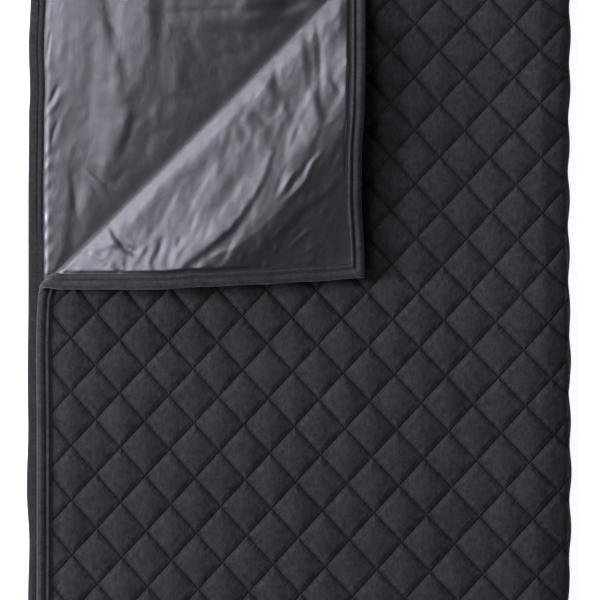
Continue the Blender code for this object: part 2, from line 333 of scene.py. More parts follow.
def build_panel(material):
    first_a = 10.0 + (T_PLY + GAP - LATTICE_U) / HALF_PITCH_U
    last_a = 10.0 + (WIDTH - T_PLY - GAP - LATTICE_U) / HALF_PITCH_U
    first_b = (T_PLY + GAP - LATTICE_V) / HALF_PITCH_V
    last_b = (LENGTH - T_PLY - GAP - LATTICE_V) / HALF_PITCH_V
    line_a = lattice_line(first_a, last_a, 21, 2)
    line_b = lattice_line(first_b, last_b, math.floor(last_b), STEPS)
    a, b = np.meshgrid(line_a, line_b, indexing="ij")
    u, v = lattice_place(a, b)
    u = np.clip(u, T_PLY + GAP, WIDTH - T_PLY - GAP)
    v = np.clip(v, T_PLY + GAP, LENGTH - T_PLY - GAP)
    u[0], u[-1] = T_PLY + GAP, WIDTH - T_PLY - GAP
    v[:, 0], v[:, -1] = T_PLY + GAP, LENGTH - T_PLY - GAP
    height = quilt_height(a, b, u, v)

    def split(i, j):
        """Each cell is cut along the stitch line that crosses it, or the nearer one."""
        ca, cb = (line_a[i] + line_a[i + 1]) / 2, (line_b[j] + line_b[j + 1]) / 2
        p, q = (ca + cb) / 2.0, (ca - cb) / 2.0
        return 1 if abs(q - round(q)) < abs(p - round(p)) else -1

    flat_u = u[:, 0]
    middle_u, middle_v = u[:, len(line_b) // 2], v[len(line_a) // 2]
    near_fold_u = (middle_u > SIDE_LINE - 16) & (middle_u < SIDE_LINE + 36)
    near_fold_v = (middle_v > END_LINE - 16) & (middle_v < END_LINE + 52)
    keep_u = [
        i for i in range(len(line_a))
        if i % 3 == 0 or i == len(line_a) - 1 or near_fold_u[i] or middle_u[i] < 420
    ]
    keep_v = [
        j for j in range(len(line_b))
        if j % 3 == 0 or j == len(line_b) - 1 or near_fold_v[j] or middle_v[j] < 420
    ]
    places, faces, flat = two_sided(
        u, v, lambda *_: height, lambda cu, cv: np.full(cu.shape, W_BATTING),
        keep_u, keep_v, split=split,
    )
    quilt = np.concatenate(
        [
            np.stack([(a + b) / 2, (a - b) / 2], -1).reshape(-1, 2),
            np.stack([(a + b) / 2, (a - b) / 2], -1)[np.ix_(keep_u, keep_v)].reshape(-1, 2),
        ]
    )
    return make_object(
        "quilted_panel", places, faces, material, {"cloth": flat * MM, "quilt": quilt}, 60
    )


# ---- the lining's listed creases ---------------------------------------------------------------
# Each is a line of points in the photograph's pixels with how high it stands in mm (a
# trough is negative) and how wide its upper-left and lower-right flanks are in pixels.
UNDER_CREASES = (
    # points, high, upper-left flank, lower-right flank
    (((57, -60), (58, 20), (61, 60), (62, 80)), 1.0, 5.0, 6.0),
    (((84, -60), (83, 0), (80, 40), (82, 80), (78, 110)), 2.0, 22.0, 10.0),
    (((96, -20), (100, 12), (104, 30), (110, 55), (118, 82), (124, 96)), 2.6, 16.0, 5.5),
    (((150, -60), (148, 10), (147, 35), (142, 62), (134, 88)), 3.4, 26.0, 10.0),
    (((108, 80), (120, 104), (126, 118), (123, 135), (113, 156)), 2.8, 26.0, 5.0),
    (((69, 140), (68, 170), (66, 205), (60, 240), (52, 275)), 2.2, 16.0, 7.0),
    (((150, 14), (156, 60), (150, 100), (146, 118)), 1.6, 6.0, 60.0),
    (((50, 32), (48, 45), (46, 58)), -1.8, 1.6, 1.6),
    (((58, 85), (52, 98), (45, 109)), -2.0, 2.2, 2.6),
    (((60, 92), (55, 103), (47, 112)), 1.3, 2.0, 4.0),
    (((48, 116), (43, 125)), -1.8, 1.6, 1.6),
    (((57, 122), (53, 132), (51, 143)), -1.5, 1.8, 2.5),
    (((70, 103), (62, 122), (58, 140)), 0.5, 2.2, 3.0),
    (((107, 18), (114, 28), (121, 38)), -1.0, 3.0, 4.0),
    (((123, 60), (127, 76)), -0.9, 3.0, 4.0),
    (((107, 70), (108, 84)), -0.9, 3.5, 4.5),
    (((132, 122), (128, 135), (122, 150)), -1.6, 2.2, 3.5),
    (((134, 137), (139, 129), (143, 123)), 1.0, 2.0, 2.0),
    (((150, 124), (158, 129), (166, 133)), -1.3, 4.0, 4.0),
    (((140, 140), (148, 130), (154, 125)), 0.8, 2.5, 3.0),
    (((168, 96), (177, 97), (187, 101)), -1.2, 3.0, 5.0),
    (((188, 40), (196, 50), (204, 60)), -1.4, 6.0, 9.0),
    (((184, 60), (176, 78), (180, 92)), 1.3, 12.0, 6.0),
    (((150, 10), (170, 13), (200, 11), (235, 10), (252, 13)), -1.8, 3.0, 4.0),
    (((190, 28), (205, 32), (225, 38), (240, 46)), 1.4, 6.0, 4.0),
    (((210, 52), (226, 55), (246, 50)), -1.0, 5.0, 6.0),
    (((246, -24), (262, -2), (274, 12)), 4.0, 50.0, 20.0),
    (((284, -20), (296, 6), (312, 16)), -6.0, 22.0, 14.0),
    (((278, 34), (290, 24), (302, 8)), 0.8, 4.0, 4.0),
    (((250, 12), (264, 9), (282, 10), (304, 3)), -5.0, 7.5, 3.5),
    (((71, 165), (73, 190), (76, 210), (82, 230)), -1.3, 3.0, 3.5),
    (((86, 190), (88, 205), (90, 220)), 1.0, 5.0, 7.0),
    (((88, 168), (98, 176), (111, 188)), -1.1, 1.8, 2.0),
    (((87, 172), (95, 181), (106, 194)), 1.2, 1.8, 2.4),
    (((89, 180), (95, 190), (102, 200)), -0.9, 1.8, 2.2),
    (((92, 160), (104, 166), (113, 174)), 1.1, 4.0, 3.5),
    (((112, 180), (116, 172), (120, 166)), 0.8, 2.2, 2.2),
    (((112, 186), (118, 178), (122, 170)), -1.0, 2.0, 2.0),
    (((74, 240), (68, 255), (58, 272)), 0.7, 4.0, 8.0),
)
# Small gathers where the lining is sewn into the binding: where along the left edge.
UNDER_GATHERS = (
    (6, 4.0), (16, 3.2), (25, 3.8), (66, 3.4), (76, 4.2), (150, 3.6), (158, 2.8), (166, 3.4),
    (175, 2.8), (184, 3.4), (192, 2.6), (201, 3.2), (210, 2.8), (219, 3.4), (229, 2.8),
    (238, 3.2), (247, 2.8), (256, 3.4), (265, 2.6), (273, 2.8),
)
FLAP_CREASES = (
    # the ridge that runs round the corner
    (((264, 136), (271, 154), (261, 182), (246, 206), (230, 228), (206, 248), (184, 264)), 3.0, 13.0, 4.0),
    (((246, 150), (228, 178), (212, 198), (198, 212)), 1.2, 9.0, 7.0),
    (((276, 60), (276, 74), (278, 90)), -1.8, 3.5, 3.5),
    (((298, 30), (302, 52), (304, 70), (305, 88)), 2.2, 14.0, 3.5),
    (((262, 80), (270, 92), (276, 104)), 1.6, 8.0, 4.0),
    (((250, 108), (260, 117), (272, 128)), -1.4, 4.0, 5.0),
    (((243, 114), (248, 126), (254, 138)), 1.1, 2.5, 3.5),
    (((232, 120), (238, 138), (241, 150)), 0.6, 5.0, 4.0),
    (((316, 18), (318, 40), (320, 64), (320, 108)), -2.0, 2.2, 3.0),
    (((323, 14), (326, 40), (326, 70)), 0.3, 2.2, 6.0),
    (((306, 92), (313, 96), (318, 110), (320, 120), (316, 134), (308, 150)), 2.0, 8.0, 2.6),
    (((283, 100), (284, 110), (286, 122)), 1.1, 2.0, 3.0),
    (((288, 150), (292, 136), (298, 124)), 1.3, 2.5, 3.0),
    (((300, 122), (304, 132), (306, 142)), 0.8, 2.0, 2.5),
    (((276, 140), (279, 128), (283, 118)), 0.7, 3.0, 3.0),
    (((340, -6), (341, 10), (340, 26), (338, 34)), 1.8, 6.0, 3.0),
    (((332, 24), (336, 14), (340, 6)), 1.0, 2.5, 2.5),
    (((329, 76), (335, 85), (342, 96)), -1.5, 2.5, 3.0),
    (((326, 70), (330, 84), (337, 96)), 0.9, 2.2, 2.6),
    (((318, 128), (330, 124), (340, 114), (345, 106)), 0.7, 2.0, 2.4),
    (((296, 170), (289, 180), (279, 197)), 2.1, 2.0, 2.6),
    (((288, 166), (282, 178), (275, 196)), -1.0, 2.0, 2.0),
    (((322, 153), (312, 164), (306, 180), (298, 190), (288, 199)), 2.2, 2.0, 2.6),
    (((315, 152), (303, 172), (288, 193)), -1.6, 2.4, 2.4),
    (((341, 179), (325, 191), (303, 208), (290, 220), (280, 233)), 1.9, 6.0, 5.0),
    (((283, 228), (279, 232), (275, 236)), 0.9, 1.8, 2.2),
    (((310, 228), (301, 237), (291, 247)), 1.3, 1.8, 2.6),
    (((300, 226), (294, 233), (286, 235)), 0.8, 1.8, 2.2),
    (((316, 246), (307, 251)), 0.9, 1.8, 2.6),
    (((339, 220), (336, 228)), 0.8, 1.5, 2.0),
    (((277, 243), (276, 254)), 0.8, 1.6, 2.0),
    (((338, 250), (330, 240), (322, 234)), 0.7, 2.0, 2.4),
    (((232, 249), (222, 252), (213, 257)), 1.0, 2.0, 2.8),
    (((258, 236), (262, 244), (270, 252)), 0.7, 2.6, 3.0),
    (((242, 254), (240, 262)), 0.7, 1.6, 2.0),
    (((110, 224), (117, 238), (128, 249), (140, 257)), -1.9, 2.2, 2.6),
    (((106, 226), (113, 240), (123, 250)), 0.9, 2.0, 2.4),
    (((118, 248), (128, 250), (139, 253)), -1.6, 3.2, 3.2),
    (((100, 240), (110, 245), (120, 246)), 0.9, 4.0, 2.0),
    (((84, 251), (90, 254)), -1.2, 1.8, 1.8),
    (((98, 252), (105, 254)), -1.1, 2.0, 2.0),
    (((87, 253), (100, 262), (119, 272)), -0.9, 1.6, 1.6),
    (((92, 251), (105, 262), (124, 271)), 0.8, 1.6, 1.6),
    (((112, 256), (117, 264), (121, 272)), -1.0, 1.8, 1.8),
    (((127, 255), (127, 264), (129, 272)), -0.9, 1.8, 2.0),
    (((137, 262), (140, 254), (146, 248)), 1.4, 3.0, 3.0),
    (((150, 272), (149, 262), (152, 252)), 1.2, 2.6, 2.6),
    (((162, 238), (161, 248), (158, 258)), -1.3, 2.6, 2.8),
    (((180, 238), (179, 248)), -0.9, 1.6, 1.8),
    (((172, 262), (178, 252), (186, 244)), 0.9, 3.0, 3.0),
    (((134, 214), (144, 226), (150, 240)), 0.7, 6.0, 5.0),
    (((160, 200), (168, 214), (172, 230)), -0.5, 7.0, 7.0),
    (((190, 170), (206, 182), (214, 190)), -0.5, 8.0, 8.0),
)
FLAP_GATHERS = (  # along the flap's lower edge
    (70, 3.4), (80, 3.0), (120, 3.2), (130, 3.0), (156, 3.2), (165, 2.6), (173, 3.0), (182, 2.8),
    (191, 3.2), (201, 2.6), (210, 2.8), (219, 2.4), (229, 2.8), (240, 2.2), (252, 2.4),
    (266, 2.2), (281, 2.4), (297, 2.2), (315, 2.0), (332, 2.0),
)


# The second layer's lining swells to a crest: place down the photograph, where the crest is
# across it, both in pixels, and how high it stands in mm.
UNDER_SWELL = (
    (-60, 152, 5.4), (0, 150, 5.7), (50, 146, 5.2), (110, 128, 3.7), (150, 112, 2.6),
    (200, 84, 1.6), (240, 64, 1.0), (290, 50, 0.6),
)
WAVE_SHARE, UNDER_SHARE, FLAP_SHARE = 0.4, 0.45, 0.42

# Slow waves all over the loose lining: length in pixels, way it runs in degrees, height in
# mm, and where it starts in turns.
UNDER_WAVES = (
    (61, 8, 0.50, 0.10), (43, -14, 0.32, 0.55), (34, 24, 0.20, 0.30), (27, -4, 0.14, 0.80),
    (22, 38, 0.09, 0.45), (48, 62, 0.22, 0.65), (17, -22, 0.06, 0.20), (31, 84, 0.10, 0.90),
)
FLAP_WAVES = (
    (58, 30, 0.45, 0.40), (40, 12, 0.30, 0.05), (33, 48, 0.24, 0.70), (25, 26, 0.14, 0.25),
    (20, 4, 0.09, 0.60), (45, -52, 0.22, 0.15), (16, 40, 0.06, 0.85), (29, -34, 0.10, 0.50),
)


def waves(px, py, rows):
    """Slow uneven waves, each bent a little by the one before it."""
    total, bent = 0.0, 0.0
    for length, way, high, start in rows:
        way = math.radians(way)
        run = (px * math.cos(way) + py * math.sin(way)) / length
        wave = np.sin(2.0 * math.pi * (run + start) + bent)
        bent = 1.3 * wave + 0.8 * np.sin(py / 23.0 + px / 37.0 + 6.0 * start)
        total = total + high * wave
    return total


def crease(px, py, points, high, up_flank, down_flank):
    """The height that one crease gives at each place."""
    points = np.array(points, float)
    best = np.full(px.shape, 1e9)
    side = np.zeros(px.shape)
    share = np.zeros(px.shape)
    lengths = np.hypot(*(points[1:] - points[:-1]).T)
    total, done = lengths.sum(), 0.0
    for (x0, y0), (x1, y1), length in zip(points[:-1], points[1:], lengths):
        dx, dy = (x1 - x0) / length, (y1 - y0) / length
        t = np.clip((px - x0) * dx + (py - y0) * dy, 0.0, length)
        ox, oy = px - (x0 + t * dx), py - (y0 + t * dy)
        away = np.hypot(ox, oy)
        near = away < best
        best = np.where(near, away, best)
        side = np.where(near, ox + oy, side)
        share = np.where(near, (done + t) / total, share)
        done += length
    lean = np.clip(side / np.maximum(best, 1e-6), -1.0, 1.0) * 0.5 + 0.5
    flank = up_flank + (down_flank - up_flank) * smooth(lean)
    taper = np.clip(np.sin(math.pi * (0.04 + 0.92 * share)), 0.0, 1.0) ** 0.55
    return high * taper * np.exp(-((best / flank) ** 2))


def lining_height(u, v):
    """How far the lining stands off the panel, towards its free side, in mm."""
    px, py = pixel_of(lay(u, v, np.zeros(u.shape)))
    past = (CORNER_LINE - u - v) / ROOT2
    turn = math.pi * (W_FACE + R_CORNER - W_MIDDLE)
    on_flap = smooth((past - 0.5 * turn) / (0.35 * turn)) * (u < 600) * (v < 600)
    open_under = smooth((340.0 - (px + py)) / 26.0) * (u > 700) * (v < 600)
    from_seam = inset_of(u, v) - BINDING

    # loose on the second layer, it swells from the seam and sinks towards the corner fold
    crest = eased([row[:2] for row in UNDER_SWELL], py)
    swell = eased([(row[0], row[2]) for row in UNDER_SWELL], py)
    before = np.clip((px - 42.0) / (crest - 42.0), 0.0, 1.0)
    after = np.clip((px - crest) / np.maximum(329.0 - py - crest, 8.0), 0.0, 1.0)
    before = before ** (1.0 + 0.6 * smooth((py - 60.0) / 50.0))
    under = 0.5 + swell * before * (1.0 - after ** (1.5 + 3.5 * smooth((34.0 - py) / 26.0)))
    # it stands as high as the binding's lip there, then sinks again lower down
    bank = np.maximum(px - 43.0, 0.0) / (7.0 + 10.0 * smooth((py - 55.0) / 70.0))
    under = under + (0.1 + 0.35 * smooth((py - 55.0) / 70.0)) * np.exp(-(bank**2))
    under = under + WAVE_SHARE * waves(px, py, UNDER_WAVES)
    for points, high, up_flank, down_flank in UNDER_CREASES:
        under = under + UNDER_SHARE * crease(px, py, points, high, up_flank, down_flank)
    for k, (at, width) in enumerate(UNDER_GATHERS):
        fold = np.exp(-(((py - at + 0.25 * (px - 42)) / width) ** 2))
        under = under + (0.75 if k % 2 else -0.7) * fold * np.exp(-((px - 43.0) / 6.5) ** 2)

    in_flap = (px + py - 329.0) / ROOT2
    early = smooth((px - 258.0) / 74.0) * (1.0 - 0.6 * smooth((py - 100.0) / 40.0))
    sinking = in_flap - 98.0 + 46.0 * early
    upper = smooth((px - 90.0) / 130.0)
    # it rolls over the fold, dips behind the roll and swells again to the crest
    flap = 0.9 + (0.5 + 1.7 * upper) * smooth((in_flap + 2.0) / 19.0)
    flap = flap - (0.2 + 0.5 * upper) * smooth((in_flap - 12.0) / 22.0)
    flap = flap + 1.9 * smooth((in_flap - 34.0) / 60.0)
    flap = flap - 4.4 * smooth(sinking / 62.0)
    flap = flap + 1.4 * WAVE_SHARE * waves(px, py, FLAP_WAVES)
    for points, high, up_flank, down_flank in FLAP_CREASES:
        share = FLAP_SHARE * (1.0 + 1.0 * smooth((py - 205.0) / 30.0))
        flap = flap + share * crease(px, py, points, high, up_flank, down_flank)
    for k, (at, width) in enumerate(FLAP_GATHERS):
        fold = np.exp(-(((px - at) / width) ** 2))
        flap = flap + (0.7 if k % 2 else -0.6) * fold * np.exp(
            -(np.maximum(from_seam, 0.0) / 7.0) ** 2
        )
    under = np.clip(under, 0.0, 10.0) * open_under * smooth(from_seam / 7.0)
    flap = np.clip(flap, 0.0, 10.0) * on_flap * smooth(from_seam / 4.5)
    # the settling lets down what stands in the air between the layers: here nothing does
    low, high = -W_UNDER, 2.0 * R_SIDE + W_UNDER
    squeezed = high - low - LINING_AIR
    return under + LINING_AIR * np.clip((under - low) / squeezed, 0.0, 1.0) + flap


def spread(*runs):
    """Values from each (start, end, step), without repeats."""
    values = []
    for start, end, step in runs:
        count = max(1, round((end - start) / step))
        values += list(start + (end - start) * np.arange(count) / count)
    return np.array(values + [runs[-1][1]])


def build_lining(material):
    edge = T_PLY + GAP
    line_u = spread(
        (edge, 17.0, 3.2), (17.0, 26.0, 1.3), (26.0, edge + 432.0, 3.0),
        (edge + 432.0, 630.0, 16.0), (630.0, 660.0, 2.0),
        (660.0, 930.0, 18.0), (930.0, 1225.0, 4.0), (1225.0, 1260.0, 2.6),
        (1260.0, 1284.0, 1.1), (1284.0, WIDTH - edge, 3.0),
    )
    line_v = spread(
        (edge, 17.0, 3.2), (17.0, 26.0, 1.3), (26.0, edge + 432.0, 3.0),
        (edge + 432.0, 830.0, 18.0), (830.0, 874.0, 3.4),
        (874.0, LENGTH - edge, 20.0),
    )
    u, v = np.meshgrid(line_u, line_v, indexing="ij")
    out = lining_height(u, v)

    def kept(line, folds):
        return [
            i for i in range(len(line))
            if i % 3 == 0 or i == len(line) - 1
            or any(low < line[i] < high for low, high in folds)
        ]

    places, faces, flat = two_sided(
        u, v, lambda *_: -out, lambda cu, cv: np.full(cu.shape, 0.7),
        kept(line_u, ((620, 670),)), kept(line_v, ((820, 885),)),
        flip=True, split=lambda i, j: -1,
    )
    return make_object("satin_lining", places, faces, material, {"cloth": flat * MM}, 75)


# ---- the binding --------------------------------------------------------------------------------
ROWS = (11.2, 17.3)  # the twin stitch rows, from the blanket's edge
STITCH, STITCH_PITCH = 2.9, 3.7


def relief(s):
    """The binding's surface above its flat level, from edge to inner lip."""
    dip = sum(-0.85 * np.exp(-(((s - row) / 1.05) ** 2)) for row in ROWS)
    return dip + 1.35 * np.exp(-(((s - 14.25) / 1.75) ** 2))


def crown(s):
    """The fuller roll between the edge and the first row."""
    return 1.7 * np.exp(-(((s - 5.6) / 3.4) ** 2))


def showing(u, v):
    """How freely the binding's face and lining sides puff up: hidden ones are lain on."""
    turned = smooth((CORNER_LINE - 4.0 - u - v) / 24.0)
    top = (u < 650.0) * (v < 850.0)
    second = (u > 650.0) * (v < 850.0)
    over = 0.2 + 0.8 * top * (1.0 - turned)
    bare = np.maximum(turned * top, second * smooth((350.0 - v) / 50.0))
    # the second layer's edge shows beside the top one all the way down
    return over, 0.2 + 0.8 * bare, over, 0.2 + 0.8 * np.maximum(bare, second)


def binding_profile():
    """(s, w) round the folded strip's section."""
    along = [18.5, 18.3, 17.9, 17.3, 16.7, 16.1, 15.2, 14.2, 13.2, 12.4, 11.8, 11.2, 10.6,
             10.0, 9.0, 7.6, 6.2, 4.8, 3.4, 2.2]
    drop = {18.5: 0.65, 18.3: 0.2}
    middle = (W_OVER + W_UNDER) / 2
    over = [(s, W_OVER - drop.get(s, 0.0)) for s in along]
    under = [(s, 2 * middle - w) for s, w in over]
    half = (W_OVER - W_UNDER) / 2
    turn = [
        (2.2 - 2.2 * math.cos(math.radians(k)), middle + half * math.sin(math.radians(k)))
        for k in (62, 38, 14, -14, -38, -62)
    ]
    inner = [(18.4, W_UNDER + T_PLY), (9.0, W_UNDER + T_PLY), (2.4, W_UNDER + T_PLY), (1.2, 0.5),
             (1.05, middle), (1.2, W_PRESSED - 0.5), (2.4, W_OVER - T_PLY),
             (9.0, W_OVER - T_PLY), (18.4, W_OVER - T_PLY)]
    return over + turn + under[::-1] + inner


def around(at, s):
    """Flat coordinates at inset s for a place along the edge, mitred at the corners."""
    lengths = (WIDTH, LENGTH, WIDTH, LENGTH)
    side = 0
    while side < 3 and at > lengths[side]:
        at -= lengths[side]
        side += 1
    length, room = lengths[side], 40.0
    if at < room:
        t = s + at * (room - s) / room
    elif at > length - room:
        t = length - s - (length - at) * (room - s) / room
    else:
        t = at
    return (
        (t, s), (WIDTH - s, t), (WIDTH - t, LENGTH - s), (s, LENGTH - t),
    )[side]


def build_binding(material):
    profile = binding_profile()
    folds = {
        WIDTH: ((620.0, 672.0, 1.6),),
        LENGTH: ((820.0, 884.0, 2.2),),
    }
    stations = []
    start = 0.0
    for side, length in enumerate((WIDTH, LENGTH, WIDTH, LENGTH)):
        low, high, step = folds[length][0]
        if side >= 2:
            low, high = length - high, length - low
        near = 3.6
        runs = [(0.0, low, near if side in (0, 3, 1) else 8.0), (low, high, step)]
        runs.append((high, length, near if side in (0, 3, 1) else 8.0))
        if side == 0:  # over the corner fold
            runs = [(0.0, 380.0, 3.6), (380.0, 412.0, 1.8), (412.0, low, 5.0), (low, high, step), (high, length, 3.6)]
        if side == 3:
            runs = [(0.0, low, 8.0), (low, high, step), (high, length - 412.0, 4.0),
                    (length - 412.0, length - 380.0, 1.8), (length - 380.0, length, 3.6)]
        if side == 1:
            runs = [(0.0, low, 4.0), (low, high, step), (high, length, 8.0)]
        stations += [start + x for x in spread(*runs)[:-1]]
        start += length
    n, m = len(stations), len(profile)
    flat = np.array([[around(at, s) for s, _ in profile] for at in stations])
    w = np.array([[high for _, high in profile]] * n)
    over, under, over_roll, under_roll = showing(flat[..., 0], flat[..., 1])
    across = np.array([s for s, _ in profile])[None, :]
    raised = over * relief(across) + over_roll * crown(across)
    lowered = under * relief(across) + under_roll * crown(across)
    w = w + np.where(w > 3.2, raised, 0.0) - np.where(w < -0.5, lowered, 0.0)
    # the strip's upper lip lies a little unevenly
    at = np.array(stations)[:, None]
    lumps = 0.12 * np.sin(at / 7.3) + 0.1 * np.sin(at / 3.1 + 1.3)
    w = w + np.where(w > 3.0, lumps * over, 0.0) - np.where(w < -0.5, lumps * under, 0.0)
    places = lay(flat[..., 0], flat[..., 1], w).reshape(-1, 3)
    faces = []
    for i in range(n):
        k = (i + 1) % n
        for j in range(m):
            l = (j + 1) % m
            faces.append((i * m + j, k * m + j, k * m + l, i * m + l))
    strip = np.empty((n, m, 2))
    strip[..., 0] = at * MM
    around_strip = np.cumsum(
        [0.0] + [math.dist(profile[j], profile[j + 1]) for j in range(m - 1)]
    )
    strip[..., 1] = around_strip[None, :] * MM
    rows = np.empty((n, m, 2))
    rows[..., 0] = at * MM
    rows[..., 1] = np.array([s for s, _ in profile])[None, :] * MM
    return make_object(
        "jersey_binding", places, faces, material,
        {"cloth": strip.reshape(-1, 2), "rows": rows.reshape(-1, 2)}, 50,
    )


def build_stitches(material):
    """The twin rows of thread on both faces of the binding."""
    places, faces = [], []
    middle = (W_OVER + W_UNDER) / 2
    ring = 2 * (WIDTH + LENGTH)
    count = int(ring / STITCH_PITCH)
    half_wide, half_high = 0.42, 0.30
    for row in ROWS:
        dip = float(relief(row) + crown(row))
        for over in (True, False):
            ats = (np.arange(count) + 0.5) * ring / count
            for at in ats:
                base = len(places)
                share = float(showing(*around(at, row))[0 if over else 1])
                level = W_OVER + share * dip
                w0 = level if over else 2 * middle - level
                up = 1.0 if over else -1.0
                for along, wide, high in ((-0.5, 0.0, -0.2), (-0.3, 1.0, 0.8), (0.3, 1.0, 0.8), (0.5, 0.0, -0.2)):
                    u, v = around(at + along * STITCH, row)
                    if wide:
                        u1, v1 = around(at + along * STITCH, row - half_wide)
                        u2, v2 = around(at + along * STITCH, row + half_wide)
                        places.append((u1, v1, w0 + up * 0.05))
                        places.append((u, v, w0 + up * (high * half_high + 0.12)))
                        places.append((u2, v2, w0 + up * 0.05))
                        places.append((u, v, w0 - up * 0.25))
                    else:
                        places.append((u, v, w0 + up * high * half_high))
                a, b, c, d = base, base + 1, base + 5, base + 9
                for k in range(4):
                    l = (k + 1) % 4
                    quad = (b + k, b + l, c + l, c + k)
                    cap0, cap1 = (a, b + l, b + k), (d, c + k, c + l)
                    if over:
                        faces += [quad, cap0, cap1]
                    else:
                        faces += [quad[::-1], cap0[::-1], cap1[::-1]]
    flat = np.array(places)
    return make_object(
        "binding_stitches", lay(flat[:, 0], flat[:, 1], flat[:, 2]), faces, material,
        {"cloth": flat[:, :2] * MM},
    )


# ---- materials ---------------------------------------------------------------------------------------
class Nodes:
    """Short words for building a node tree."""

    def __init__(self, name):
        self.material = bpy.data.materials.new(name)
        self.material.use_nodes = True
        self.tree = self.material.node_tree
        self.shader = next(n for n in self.tree.nodes if n.type == "BSDF_PRINCIPLED")

    def add(self, kind, inputs=None, **settings):
        node = self.tree.nodes.new(kind)
        for key, value in settings.items():
            setattr(node, key, value)
        for key, value in (inputs or {}).items():
            self.put(value, node.inputs[key])
        return node

    def put(self, value, socket):
        if isinstance(value, bpy.types.NodeSocket):
            self.tree.links.new(value, socket)
        else:
            socket.default_value = value

    def math(self, operation, a, b=0.0, c=0.0, clamp=False):
        node = self.add("ShaderNodeMath", {0: a, 1: b, 2: c}, operation=operation)
        node.use_clamp = clamp
        return node.outputs[0]

    def uv(self, layer):
        return self.add("ShaderNodeUVMap", uv_map=layer).outputs[0]

    def scaled(self, vector, scale):
        return self.add(
            "ShaderNodeMapping", {"Vector": vector, "Scale": scale}
        ).outputs[0]

    def noise(self, vector, scale, detail=2.0, roughness=0.5, distortion=0.0):
        return self.add(
            "ShaderNodeTexNoise",
            {"Vector": vector, "Scale": scale, "Detail": detail, "Roughness": roughness,
             "Distortion": distortion},
        ).outputs[0]

    def ramp(self, value, low, high, to_low=0.0, to_high=1.0):
        node = self.add(
            "ShaderNodeMapRange",
            {"Value": value, "From Min": low, "From Max": high, "To Min": to_low,
             "To Max": to_high},
        )
        node.interpolation_type = "SMOOTHSTEP"
        return node.outputs[0]

    def mix(self, share, a, b):
        node = self.add("ShaderNodeMix", data_type="RGBA")
        colours = [s for s in node.inputs if s.type == "RGBA"]
        self.put(share, node.inputs[0])
        self.put(a, colours[0])
        self.put(b, colours[1])
        return next(s for s in node.outputs if s.type == "RGBA")

    def set(self, **values):
        for name, value in values.items():
            self.put(value, self.shader.inputs[name.replace("_", " ")])


def jersey_parts(n, flat):
    """The melange colour and the knit's bump, on flat coordinates in metres."""
    grain = n.noise(n.scaled(flat, (1.0, 0.4, 1.0)), 620.0, 3.0, 0.6)
    fleck = n.noise(n.scaled(flat, (1.0, 0.55, 1.0)), 1700.0, 1.0, 0.5)
    mottle = n.noise(n.scaled(flat, (1.0, 0.55, 1.0)), 210.0, 3.0, 0.62)
    cloud = n.noise(flat, 26.0, 3.0, 0.55)
    light = n.math("ADD", n.math("MULTIPLY", grain, 0.4), n.math("MULTIPLY", fleck, 0.2))
    light = n.math("ADD", light, n.math("MULTIPLY", mottle, 0.4))
    share = n.ramp(light, 0.39, 0.61)
    patch = n.noise(n.scaled(flat, (1.0, 0.7, 1.0)), 120.0, 2.0, 0.55)
    cloud = n.math("ADD", n.math("MULTIPLY", cloud, 0.5), n.math("MULTIPLY", patch, 0.5))
    return share, cloud, grain, fleck


